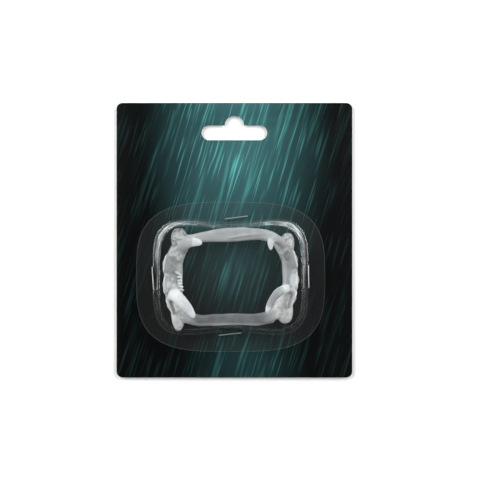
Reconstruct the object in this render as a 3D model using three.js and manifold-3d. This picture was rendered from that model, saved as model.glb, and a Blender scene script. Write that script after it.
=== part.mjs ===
// Vampire fang denture in its clear blister on a hanging card. Millimetres, +Z up.
// The card lies on its back with the hanging edge towards +Y. The origin is under the middle of
// the card, level with the undersides of the staples that the card rests on.

import * as THREE from "three";
import { mergeVertices } from "three/addons/utils/BufferGeometryUtils.js";
import Module from "manifold-3d";

const wasm = await Module();
wasm.setup();

// Driving dimensions
const GAP = 0.25; // between a piece and what it rests on or passes through
const CARD = { width: 115, height: 134, thick: 0.6, corner: 3 };
const SLOT = { width: 32, bar: 7.2, dome: 9.3, edge: 14.6 }; // edge: card edge to the bar's middle
const WIRE = 0.6; // diameter of the staple wire
const STAPLE = { crown: 12.5, clinch: 4.4, bend: 0.7 };
const PACK = { x: -1.8, foot: 49.1 }; // its middle: right of the card's, and above the lower edge
const DENTURE = {
  length: 65.2, // over both arches
  depth: 47.8, // over both straps
  arch: 8.5, // height of the bite plates above the gum rims
  plate: 9, // breadth of a bite plate
  roof: 2.2, // thickness of a bite plate
  wall: 1.2, // thickness of the walls beside the gum groove
};
const INCISOR = { wide: 9.4, thick: 2.7, rise: 6.3, lean: 0.7 };
const FANG = { rise: 9, thick: 2.5 };
const RIDGE = { wide: 4.6, thick: 2.2, tall: 7.1, middle: 4.4, sunk: 0.3 }; // under an incisor
const FILM = 0.3; // thickness of the blister
const BUBBLE = {
  sideRoom: 4.2, // from the denture to the foot of a short wall
  endRoom: 5.1, // from the denture to the foot of a long wall's ends
  headRoom: 0.6, // from the fangs to the roof
  draftX: 2.4,
  draftY: 2.2,
  waist: 3.2, // how far a long wall's middle is drawn in
  crown: 0.2, // how far the roof's middle stands above its edge
};
const FLANGE = { side: 9.2, end: 7.5 }; // beyond the short and the long walls
const SEAT = { side: 1.1, far: 3.1, near: 2.0 }; // from the foot of a wall to its staple

// Counts of facets
const AROUND = 12; // points round a fang, tooth or root
const BAND_STEPS = 64; // sections round the whole denture
const BAND_SIDES = 14; // points round a section of the band
const RIM_POINTS = 52; // points round the blister
const HOLE_SIDES = 8;
const FANG_STEPS = 11;
const ROOT_STEPS = 8;
const GROOVE_STEPS = 14;

// Powers of the rounded sections: 2 is an ellipse, and more is squarer.
const POWER = { band: 3.6, groove: 4.5, limb: 2.3, incisor: 2.6, bubble: 4.6, flange: 3.3 };

const packY = PACK.foot - CARD.height / 2;

// Heights above the lowest point
const cardBack = WIRE + GAP;
const cardFront = cardBack + CARD.thick;
const packFloor = cardFront + GAP; // undersides of the flange and of the gum rims
const flangeTop = packFloor + FILM;
const fangTop = DENTURE.arch + FANG.rise; // highest middle line of a fang above the gum rims
const ceiling = fangTop + FANG.thick / 2 + BUBBLE.headRoom; // underside of the blister's top

// The band of the denture, clockwise from the middle of the left arch. u and v are shares of half
// its length and depth, wide is a share of the bite plate's breadth, low and top of the arch height.
const BAND = [
  { u: -0.855, v: -0.01, wide: 1.0, low: 0, top: 1 },
  { u: -0.852, v: 0.273, wide: 1.0, low: 0, top: 1 },
  { u: -0.785, v: 0.525, wide: 0.92, low: 0, top: 1 },
  { u: -0.674, v: 0.707, wide: 0.76, low: 0.02, top: 0.98 },
  { u: -0.519, v: 0.778, wide: 0.55, low: 0.26, top: 0.94 },
  { u: -0.348, v: 0.822, wide: 0.6, low: 0.44, top: 0.9 },
  { u: -0.141, v: 0.846, wide: 0.74, low: 0.5, top: 0.86 },
  { u: 0.081, v: 0.863, wide: 0.77, low: 0.52, top: 0.85 },
  { u: 0.304, v: 0.87, wide: 0.68, low: 0.5, top: 0.87 },
  { u: 0.504, v: 0.856, wide: 0.62, low: 0.38, top: 0.92 },
  { u: 0.667, v: 0.758, wide: 0.65, low: 0.14, top: 0.97 },
  { u: 0.778, v: 0.596, wide: 0.76, low: 0, top: 1 },
  { u: 0.864, v: 0.354, wide: 0.81, low: 0, top: 1 },
  { u: 0.884, v: 0.03, wide: 0.82, low: 0, top: 1 },
  { u: 0.872, v: -0.273, wide: 0.81, low: 0, top: 1 },
  { u: 0.793, v: -0.535, wide: 0.81, low: 0, top: 1 },
  { u: 0.622, v: -0.768, wide: 0.68, low: 0.12, top: 0.96 },
  { u: 0.393, v: -0.859, wide: 0.63, low: 0.4, top: 0.9 },
  { u: 0.081, v: -0.851, wide: 0.62, low: 0.5, top: 0.85 },
  { u: -0.23, v: -0.868, wide: 0.62, low: 0.5, top: 0.85 },
  { u: -0.481, v: -0.876, wide: 0.63, low: 0.32, top: 0.92 },
  { u: -0.681, v: -0.768, wide: 0.77, low: 0.03, top: 0.98 },
  { u: -0.8, v: -0.545, wide: 0.92, low: 0, top: 1 },
  { u: -0.852, v: -0.293, wide: 0.98, low: 0, top: 1 },
];
const GROOVES = [
  { from: -2.6, to: 2.6 },
  { from: 10.8, to: 15.4 },
]; // gum grooves, from row to row of the band
const GROOVE_END = { wide: 0.6, blunt: 0.3 }; // breadth at its ends, and how soon it is full
const INCISORS = [0.95, -0.5, -1.95, 12.05, 13.3, 14.5]; // rows of the band that they stand on

// Fangs: four control points each, with up a share of the highest fang line above the gum rims.
const FANGS = [
  {
    wide: 6.2,
    path: [
      { u: -0.867, v: -0.2, up: 0.42 },
      { u: -0.845, v: -0.414, up: 0.98 },
      { u: -0.659, v: -0.48, up: 1.02 },
      { u: -0.541, v: -0.815, up: 0.95 },
    ],
  },
  {
    wide: 4.6,
    path: [
      { u: 0.889, v: -0.23, up: 0.42 },
      { u: 0.8, v: -0.19, up: 1.0 },
      { u: 0.6, v: -0.33, up: 1.02 },
      { u: 0.533, v: -0.72, up: 0.95 },
    ],
  },
  {
    wide: 5.8,
    path: [
      { u: -0.72, v: 0.56, up: 0.42 },
      { u: -0.7, v: 0.7, up: 0.86 },
      { u: -0.6, v: 0.74, up: 1.04 },
      { u: -0.42, v: 0.69, up: 0.99 },
    ],
  },
  {
    wide: 4.2,
    path: [
      { u: 0.778, v: 0.66, up: 0.42 },
      { u: 0.66, v: 0.84, up: 0.84 },
      { u: 0.55, v: 0.83, up: 1.05 },
      { u: 0.6, v: 0.55, up: 0.99 },
    ],
  },
];
// Breadth and depth of a fang along its path, as shares of its own sizes.
const FANG_TAPER = [
  { along: 0, wide: 0.95, thick: 1.9 },
  { along: 0.25, wide: 1.0, thick: 1.5 },
  { along: 0.5, wide: 0.96, thick: 1.1 },
  { along: 0.72, wide: 0.82, thick: 0.9 },
  { along: 0.88, wide: 0.64, thick: 0.7 },
  { along: 0.96, wide: 0.48, thick: 0.5 },
  { along: 1, wide: 0.26, thick: 0.26 },
];

// Root bulges at the corners, with up a share of the arch height.
const ROOTS = [
  {
    wide: 6.6,
    path: [
      { u: -0.79, v: -0.45, up: 0.74 },
      { u: -0.795, v: -0.8, up: 0.72 },
      { u: -0.77, v: -1.055, up: 0.36 },
    ],
  },
  {
    wide: 9.2,
    path: [
      { u: 0.77, v: -0.35, up: 0.76 },
      { u: 0.78, v: -0.62, up: 0.74 },
      { u: 0.83, v: -0.92, up: 0.34 },
    ],
  },
  {
    wide: 8.2,
    path: [
      { u: -0.76, v: 0.6, up: 0.76 },
      { u: -0.77, v: 0.8, up: 0.76 },
      { u: -0.775, v: 0.97, up: 0.38 },
    ],
  },
  {
    wide: 6.6,
    path: [
      { u: -0.8, v: 0.3, up: 0.82 },
      { u: -0.785, v: 0.47, up: 0.98 },
      { u: -0.77, v: 0.64, up: 0.82 },
    ],
  },
  {
    wide: 7.2,
    path: [
      { u: 0.81, v: 0.42, up: 0.78 },
      { u: 0.85, v: 0.68, up: 0.78 },
      { u: 0.85, v: 0.88, up: 0.38 },
    ],
  },
];
const ROOT_FLATNESS = 0.72; // depth of a root bulge as a share of its breadth
const ROOT_TAPER = [
  { along: 0, wide: 0.6, thick: 0.6 },
  { along: 0.2, wide: 0.92, thick: 0.95 },
  { along: 0.5, wide: 1.0, thick: 1.0 },
  { along: 0.75, wide: 0.9, thick: 0.9 },
  { along: 0.92, wide: 0.68, thick: 0.7 },
  { along: 1, wide: 0.4, thick: 0.4 },
];

// Outline of an incisor from its neck to its biting edge.
const INCISOR_OUTLINE = [
  { rise: -0.5, wide: 0.86, thick: 0.9 },
  { rise: 0.1, wide: 0.92, thick: 1.0 },
  { rise: 0.5, wide: 1.0, thick: 0.84 },
  { rise: 0.82, wide: 0.97, thick: 0.56 },
  { rise: 0.95, wide: 0.84, thick: 0.42 },
  { rise: 1, wide: 0.66, thick: 0.28 },
];

// Profile of the bubble from its foot to the middle of its roof: inward is a share of the draft,
// scale is about the middle, rise is a share of the bubble's height and crown of its crown.
const PROFILE = [
  { inward: -0.12, scale: 1, rise: 0, crown: 0 },
  { inward: 0.02, scale: 1, rise: 0.03, crown: 0 },
  { inward: 0.34, scale: 1, rise: 0.4, crown: 0 },
  { inward: 0.7, scale: 1, rise: 0.8, crown: 0 },
  { inward: 0.9, scale: 0.995, rise: 0.93, crown: 0 },
  { inward: 1, scale: 0.965, rise: 0.985, crown: 0 },
  { inward: 1, scale: 0.9, rise: 1, crown: 0 },
  { inward: 1, scale: 0.4, rise: 1, crown: 0.75 },
  { inward: 1, scale: 0.04, rise: 1, crown: 1 },
];

// Solids and lofts

function solidOf(geometry) {
  const bare = geometry.clone();
  bare.deleteAttribute("normal");
  bare.deleteAttribute("uv");
  const merged = mergeVertices(bare, 1e-4);
  return new wasm.Manifold(
    new wasm.Mesh({
      numProp: 3,
      vertProperties: new Float32Array(merged.attributes.position.array),
      triVerts: new Uint32Array(merged.index.array),
    }),
  );
}

function geometryOf(solid) {
  const mesh = solid.getMesh();
  const geometry = new THREE.BufferGeometry();
  geometry.setAttribute("position", new THREE.BufferAttribute(mesh.vertProperties, 3));
  geometry.setIndex(new THREE.BufferAttribute(mesh.triVerts, 1));
  geometry.computeVertexNormals();
  return geometry;
}

// Skins a row of rings with as many points each; the row closes on itself or gets two end caps.
function loft(rings, closed = false) {
  const count = rings[0].length;
  const points = rings.flat();
  const faces = [];
  const last = closed ? rings.length : rings.length - 1;
  for (let i = 0; i < last; i++) {
    const next = (i + 1) % rings.length;
    for (let j = 0; j < count; j++) {
      const k = (j + 1) % count;
      const corners = [i * count + j, i * count + k, next * count + k, next * count + j];
      faces.push(corners[0], corners[1], corners[2], corners[0], corners[2], corners[3]);
    }
  }
  if (!closed) {
    for (const [ring, start] of [
      [rings[0], 0],
      [rings[rings.length - 1], (rings.length - 1) * count],
    ]) {
      const middle = ring.reduce((sum, p) => sum.add(p), new THREE.Vector3()).divideScalar(count);
      points.push(middle);
      for (let j = 0; j < count; j++) {
        const edge = [start + j, start + ((j + 1) % count)];
        faces.push(points.length - 1, ...(start === 0 ? edge.reverse() : edge));
      }
    }
  }
  const geometry = new THREE.BufferGeometry().setFromPoints(points);
  geometry.setIndex(faces);
  geometry.computeVertexNormals();
  return geometry;
}

const rounded = (share, power) => Math.sign(share) * Math.abs(share) ** (2 / power);

// A point of a rounded section: across and up run from -1 to 1.
function sectionPoint(index, count, power) {
  const angle = (2 * Math.PI * index) / count;
  return { across: rounded(Math.cos(angle), power), up: rounded(Math.sin(angle), power) };
}

const lerp = THREE.MathUtils.lerp;

// Value of one column of a table at a share of the way along.
function column(table, key, along) {
  let row = 0;
  while (row < table.length - 2 && table[row + 1].along < along) row++;
  const [a, b] = [table[row], table[row + 1]];
  return lerp(a[key], b[key], (along - a.along) / (b.along - a.along));
}

// The denture

const place = (p, height) =>
  new THREE.Vector3((p.u * DENTURE.length) / 2, (p.v * DENTURE.depth) / 2, p.up * height);
const bandLine = new THREE.CatmullRomCurve3(
  BAND.map((row) => place({ ...row, up: 0 }, 0)),
  true,
);
const bandSizes = new THREE.CatmullRomCurve3(
  BAND.map((row) => new THREE.Vector3(row.wide, row.low, row.top)),
  true,
);

// Middle, outward direction and sizes of the band at a row number, which may be a fraction.
function bandAt(row) {
  const share = THREE.MathUtils.euclideanModulo(row, BAND.length) / BAND.length;
  const tangent = bandLine.getTangent(share);
  const sizes = bandSizes.getPoint(share);
  return {
    middle: bandLine.getPoint(share),
    outward: new THREE.Vector3(-tangent.y, tangent.x, 0),
    along: tangent,
    wide: sizes.x * DENTURE.plate,
    low: Math.max(sizes.y, 0) * DENTURE.arch,
    top: Math.min(sizes.z, 1) * DENTURE.arch,
  };
}

function bandRing(at, wide, low, top, power) {
  return Array.from({ length: BAND_SIDES }, (_, i) => {
    const { across, up } = sectionPoint(i, BAND_SIDES, power);
    const point = at.middle.clone().addScaledVector(at.outward, (across * wide) / 2);
    point.z = (low + top) / 2 + (up * (top - low)) / 2;
    return point;
  });
}

function band() {
  const rings = Array.from({ length: BAND_STEPS }, (_, i) => {
    const at = bandAt((i * BAND.length) / BAND_STEPS);
    return bandRing(at, at.wide, at.low, at.top, POWER.band);
  });
  return solidOf(loft(rings, true));
}

// The groove on the gum side of an arch, open downwards and rounded at its ends.
function groove({ from, to }) {
  const below = -DENTURE.roof; // the cut runs out of the rims
  const rings = Array.from({ length: GROOVE_STEPS + 1 }, (_, i) => {
    const along = i / GROOVE_STEPS;
    const at = bandAt(lerp(from, to, along));
    const taper = lerp(GROOVE_END.wide, 1, Math.sin(Math.PI * along) ** GROOVE_END.blunt);
    const wide = (at.wide - 2 * DENTURE.wall) * taper;
    return bandRing(at, wide, below, DENTURE.arch - DENTURE.roof, POWER.groove);
  });
  return solidOf(loft(rings));
}

// A tapering limb along a curve, flat across the direction that it takes in plan.
function limb(curve, wide, thick, taper, steps) {
  const rings = [];
  for (let i = 0; i <= steps; i++) {
    const along = Math.sin((Math.PI / 2) * (i / steps));
    const middle = curve.getPoint(along);
    const tangent = curve.getTangent(along);
    const across = new THREE.Vector3(-tangent.y, tangent.x, 0).normalize();
    const up = new THREE.Vector3().crossVectors(tangent, across);
    const breadth = column(taper, "wide", along) * wide;
    const depth = column(taper, "thick", along) * thick;
    rings.push(
      Array.from({ length: AROUND }, (_, j) => {
        const point = sectionPoint(j, AROUND, POWER.limb);
        return middle
          .clone()
          .addScaledVector(across, (point.across * breadth) / 2)
          .addScaledVector(up, (point.up * depth) / 2);
      }),
    );
  }
  return solidOf(loft(rings));
}

function fang({ wide, path }) {
  const curve = new THREE.CubicBezierCurve3(...path.map((p) => place(p, fangTop)));
  return limb(curve, wide, FANG.thick, FANG_TAPER, FANG_STEPS);
}

function root({ wide, path }) {
  const curve = new THREE.QuadraticBezierCurve3(...path.map((p) => place(p, DENTURE.arch)));
  return limb(curve, wide, ROOT_FLATNESS * wide, ROOT_TAPER, ROOT_STEPS);
}

function incisor(row) {
  const at = bandAt(row);
  const foot = at.middle.clone().addScaledVector(at.outward, at.wide / 2 - INCISOR.thick / 2);
  const rings = INCISOR_OUTLINE.map((part) =>
    Array.from({ length: AROUND }, (_, j) => {
      const { across, up } = sectionPoint(j, AROUND, POWER.incisor);
      const out = (up * part.thick * INCISOR.thick) / 2 + INCISOR.lean * Math.max(part.rise, 0);
      const point = foot
        .clone()
        .addScaledVector(at.along, (across * part.wide * INCISOR.wide) / 2)
        .addScaledVector(at.outward, out);
      point.z = DENTURE.arch + part.rise * INCISOR.rise;
      return point;
    }),
  );
  return solidOf(loft(rings));
}

// Root relief under an incisor: a half-sunk upright ridge on the outer wall.
function ridge(row) {
  const at = bandAt(row);
  const shape = new THREE.SphereGeometry(1, AROUND, 6);
  shape.scale(RIDGE.thick / 2, RIDGE.wide / 2, RIDGE.tall / 2);
  shape.rotateZ(Math.atan2(at.outward.y, at.outward.x));
  const middle = at.middle.clone().addScaledVector(at.outward, at.wide / 2 - RIDGE.sunk);
  shape.translate(middle.x, middle.y, RIDGE.middle);
  return solidOf(shape);
}

function fangDenture() {
  const added = [...INCISORS.map(ridge), ...ROOTS.map(root), ...INCISORS.map(incisor)];
  let body = band();
  for (const piece of added) body = body.add(piece);
  for (const cut of GROOVES) body = body.subtract(groove(cut));
  for (const piece of FANGS.map(fang)) body = body.add(piece);
  return geometryOf(body);
}

// The blister

// A rounded outline with a waist in its two long sides, its points at equal angles.
function rim(halfX, halfY, power, waist) {
  return Array.from({ length: RIM_POINTS }, (_, i) => {
    const angle = (2 * Math.PI * i) / RIM_POINTS;
    const [across, up] = [Math.cos(angle), Math.sin(angle)];
    const powers = Math.abs(across / halfX) ** power + Math.abs(up / halfY) ** power;
    const distance = powers ** (-1 / power);
    const [x, y] = [distance * across, distance * up];
    const pinch = waist * Math.cos(((Math.PI / 2) * x) / halfX) ** 2;
    return new THREE.Vector3(x, y - Math.sign(y) * Math.min(pinch, Math.abs(y)), 0);
  });
}

const bubbleHalf = {
  x: DENTURE.length / 2 + BUBBLE.sideRoom,
  y: DENTURE.depth / 2 + BUBBLE.endRoom,
};
const flangeHalf = { x: bubbleHalf.x + FLANGE.side, y: bubbleHalf.y + FLANGE.end };

// One skin of the blister from the flange's edge to the middle of its top. inset is how far the
// skin lies inside the outer one.
function blisterSkin(inset) {
  const outline = (half, draftX, draftY) =>
    rim(half.x - draftX - inset, half.y - draftY - inset, POWER.bubble, BUBBLE.waist);
  const base = outline(bubbleHalf, 0, 0);
  const roof = outline(bubbleHalf, BUBBLE.draftX, BUBBLE.draftY);
  const floor = FILM - inset;
  const top = ceiling + FILM - inset;
  const edge = rim(flangeHalf.x, flangeHalf.y, POWER.flange, 0);
  edge.forEach((point) => point.setZ(floor));
  const rings = PROFILE.map(({ inward, scale, rise, crown }) =>
    base.map((point, i) => {
      const moved = point.clone().lerp(roof[i], inward).multiplyScalar(scale);
      return moved.setZ(lerp(floor, top, rise) + crown * BUBBLE.crown);
    }),
  );
  return [edge, ...rings];
}

function blister() {
  const outer = blisterSkin(0);
  const inner = blisterSkin(FILM);
  const shell = solidOf(loft([...inner.reverse(), ...outer]));
  const drilled = STAPLES.flatMap(stapleHoles).reduce((body, hole) => body.subtract(hole), shell);
  return geometryOf(drilled);
}

// The staples

// Each runs along its side of the flange, close to the foot of the bubble's wall.
const shortWall = bubbleHalf.x;
const longWall = bubbleHalf.y - BUBBLE.waist;
const STAPLES = [
  { name: "staple_top", x: 2.7, y: longWall + SEAT.far, turn: 7.5 },
  { name: "staple_bottom", x: -0.3, y: -longWall - SEAT.near, turn: 6 },
  { name: "staple_left", x: -shortWall - SEAT.side, y: -0.8, turn: 94 },
  { name: "staple_right", x: shortWall + SEAT.side, y: 0.2, turn: 91 },
];

// The two holes of a staple as upright solids about the pack's floor.
function stapleHoles({ x, y, turn }) {
  return [-1, 1].map((side) => {
    const hole = new THREE.CylinderGeometry(WIRE / 2 + GAP, WIRE / 2 + GAP, 4 * FILM, HOLE_SIDES);
    hole.rotateX(Math.PI / 2);
    const angle = THREE.MathUtils.degToRad(turn);
    const reach = (side * STAPLE.crown) / 2;
    hole.translate(x + reach * Math.cos(angle), y + reach * Math.sin(angle), 0);
    return solidOf(hole);
  });
}

// A closed staple in its own XZ plane, with its crown on the flange and its legs clinched inwards
// under the card. Heights are counted from the lowest point.
function stapleShape() {
  const crown = flangeTop + GAP + WIRE / 2;
  const foot = WIRE / 2;
  const half = STAPLE.crown / 2;
  const bend = STAPLE.bend;
  const corners = [
    [-half + STAPLE.clinch, foot],
    [-half, foot],
    [-half, crown],
    [half, crown],
    [half, foot],
    [half - STAPLE.clinch, foot],
  ].map(([x, z]) => new THREE.Vector3(x, 0, z));
  const path = new THREE.CurvePath();
  let from = corners[0];
  for (let i = 1; i < corners.length - 1; i++) {
    const corner = corners[i];
    const before = corner.clone().add(from.clone().sub(corner).setLength(bend));
    const after = corner.clone().add(corners[i + 1].clone().sub(corner).setLength(bend));
    path.add(new THREE.LineCurve3(from, before));
    path.add(new THREE.QuadraticBezierCurve3(before, corner, after));
    from = after;
  }
  path.add(new THREE.LineCurve3(from, corners[corners.length - 1]));
  const section = new THREE.Shape().absarc(0, 0, WIRE / 2, 0, 2 * Math.PI);
  return new THREE.ExtrudeGeometry(section, { extrudePath: path, steps: 34, curveSegments: 3 });
}

// The card

function roundedRectangle(width, height, corner) {
  const [x, y] = [width / 2 - corner, height / 2 - corner];
  const shape = new THREE.Shape();
  shape.absarc(x, -y, corner, -Math.PI / 2, 0);
  shape.absarc(x, y, corner, 0, Math.PI / 2);
  shape.absarc(-x, y, corner, Math.PI / 2, Math.PI);
  shape.absarc(-x, -y, corner, Math.PI, 1.5 * Math.PI);
  shape.closePath();
  return shape;
}

// The hanger slot: a bar with round ends and a dome over its middle.
function slotPath() {
  const radius = SLOT.bar / 2;
  const reach = SLOT.width / 2 - radius;
  const y = CARD.height / 2 - SLOT.edge;
  const path = new THREE.Path();
  path.absarc(reach, y, radius, -Math.PI / 2, Math.PI / 2);
  path.absarc(0, y + radius, SLOT.dome / 2, 0, Math.PI);
  path.absarc(-reach, y, radius, Math.PI / 2, 1.5 * Math.PI);
  path.closePath();
  return path;
}

function backingCard() {
  const shape = roundedRectangle(CARD.width, CARD.height, CARD.corner);
  shape.holes.push(slotPath());
  for (const { x, y, turn } of STAPLES) {
    const angle = THREE.MathUtils.degToRad(turn);
    for (const reach of [-STAPLE.crown / 2, STAPLE.crown / 2]) {
      const hole = new THREE.Path();
      const [dx, dy] = [reach * Math.cos(angle), reach * Math.sin(angle)];
      hole.absarc(PACK.x + x + dx, packY + y + dy, WIRE / 2 + GAP, 0, 2 * Math.PI);
      shape.holes.push(hole);
    }
  }
  return new THREE.ExtrudeGeometry(shape, {
    depth: CARD.thick,
    bevelEnabled: false,
    curveSegments: 6,
  });
}

// Assembly

const FINISHES = {
  softPlastic: { color: 0xc9ccca, roughness: 0.42, metalness: 0 },
  clearFilm: { color: 0xdfe6e6, roughness: 0.08, metalness: 0, transparent: true, opacity: 0.25 },
  printedBoard: { color: 0x0d1a1c, roughness: 0.4, metalness: 0 },
  steelWire: { color: 0xb8babb, roughness: 0.3, metalness: 1 },
};

function mesh(name, geometry, finish) {
  const piece = new THREE.Mesh(geometry, new THREE.MeshStandardMaterial(FINISHES[finish]));
  piece.name = name;
  return piece;
}

const assembly = new THREE.Group();
assembly.name = "fang_denture_card";

const card = mesh("backing_card", backingCard(), "printedBoard");
card.position.z = cardBack;
assembly.add(card);

const pack = new THREE.Group();
pack.position.set(PACK.x, packY, packFloor);
pack.add(mesh("fang_denture", fangDenture(), "softPlastic"));
pack.add(mesh("blister", blister(), "clearFilm"));
assembly.add(pack);

const stapled = new THREE.Group();
stapled.position.set(PACK.x, packY, 0);
for (const { name, x, y, turn } of STAPLES) {
  const staple = mesh(name, stapleShape(), "steelWire");
  staple.position.set(x, y, 0);
  staple.rotation.z = THREE.MathUtils.degToRad(turn);
  stapled.add(staple);
}
assembly.add(stapled);

export default assembly;
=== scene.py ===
"""Looks of a vampire fang denture in its clear blister, stapled to a hanging card.

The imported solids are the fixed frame. Each piece is made in metres in the frame's own axes, with +Y towards
the card's hanging edge and +Z out of its front, and rides on the one body that the whole pack is.
"""

import logging
import math
from dataclasses import dataclass, field
from enum import Enum
from typing import Any, Callable, Iterable, Optional, Sequence, Union

import bmesh
import bpy
import numpy as np
from mathutils import Matrix, Vector

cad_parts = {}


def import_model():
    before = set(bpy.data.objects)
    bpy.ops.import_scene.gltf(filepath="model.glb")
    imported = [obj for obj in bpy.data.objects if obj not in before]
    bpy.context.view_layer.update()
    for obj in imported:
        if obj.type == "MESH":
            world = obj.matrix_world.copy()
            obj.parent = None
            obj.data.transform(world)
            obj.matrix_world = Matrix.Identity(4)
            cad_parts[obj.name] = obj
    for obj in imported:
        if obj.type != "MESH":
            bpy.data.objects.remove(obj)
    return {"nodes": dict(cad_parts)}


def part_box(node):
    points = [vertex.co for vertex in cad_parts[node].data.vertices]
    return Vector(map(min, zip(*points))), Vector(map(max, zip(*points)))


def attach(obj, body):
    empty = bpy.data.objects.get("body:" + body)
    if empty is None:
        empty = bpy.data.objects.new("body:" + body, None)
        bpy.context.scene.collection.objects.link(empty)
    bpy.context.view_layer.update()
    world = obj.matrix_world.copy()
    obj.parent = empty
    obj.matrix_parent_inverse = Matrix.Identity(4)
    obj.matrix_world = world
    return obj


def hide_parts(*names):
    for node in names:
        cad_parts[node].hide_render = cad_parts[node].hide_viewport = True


MM = 0.001
BODY = "root"
LOG = logging.getLogger("fang_pack")

Pair = tuple[float, float]
Triple = tuple[float, float, float]
Colour = Triple
Number = Union[int, float, "Signal"]
Settings = Optional[dict[str, Any]]
Sockets = Optional[dict[Union[int, str], Any]]
Node = bpy.types.Node
Socket = bpy.types.NodeSocket
Piece = bpy.types.Object
Array = np.ndarray


class Slot(Enum):
    """The material slots."""

    PLASTIC = "soft_plastic"
    FILM = "clear_film"
    BOARD = "printed_board"
    WIRE = "steel_wire"


@dataclass(frozen=True)
class Signal:
    """The output socket of a node in a graph, as a value. Numbers take Python's arithmetic."""

    graph: "Graph"
    socket: Socket

    def _maths(self, operation: str, first: Number, second: Number = 0.0, clamp: bool = False) -> "Signal":
        """Adds one Math node.

        Args:
            operation: The node's operation.
            first: Its first value.
            second: Its second value.
            clamp: Whether the result is held between 0 and 1.

        Returns:
            The node's result.
        """
        settings = {"operation": operation, "use_clamp": clamp}
        return self.graph.out("ShaderNodeMath", 0, settings, {0: first, 1: second})

    def __add__(self, other: Number) -> "Signal":
        """Returns this plus other."""
        return self._maths("ADD", self, other)

    def __radd__(self, other: Number) -> "Signal":
        """Returns other plus this."""
        return self._maths("ADD", other, self)

    def __sub__(self, other: Number) -> "Signal":
        """Returns this minus other."""
        return self._maths("SUBTRACT", self, other)

    def __rsub__(self, other: Number) -> "Signal":
        """Returns other minus this."""
        return self._maths("SUBTRACT", other, self)

    def __mul__(self, other: Number) -> "Signal":
        """Returns this times other."""
        return self._maths("MULTIPLY", self, other)

    def __rmul__(self, other: Number) -> "Signal":
        """Returns other times this."""
        return self._maths("MULTIPLY", other, self)

    def __pow__(self, power: Number) -> "Signal":
        """Returns this to a power."""
        return self._maths("POWER", self, power)

    def held(self) -> "Signal":
        """Returns this held between 0 and 1."""
        return self._maths("ADD", self, 0.0, clamp=True)


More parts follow.
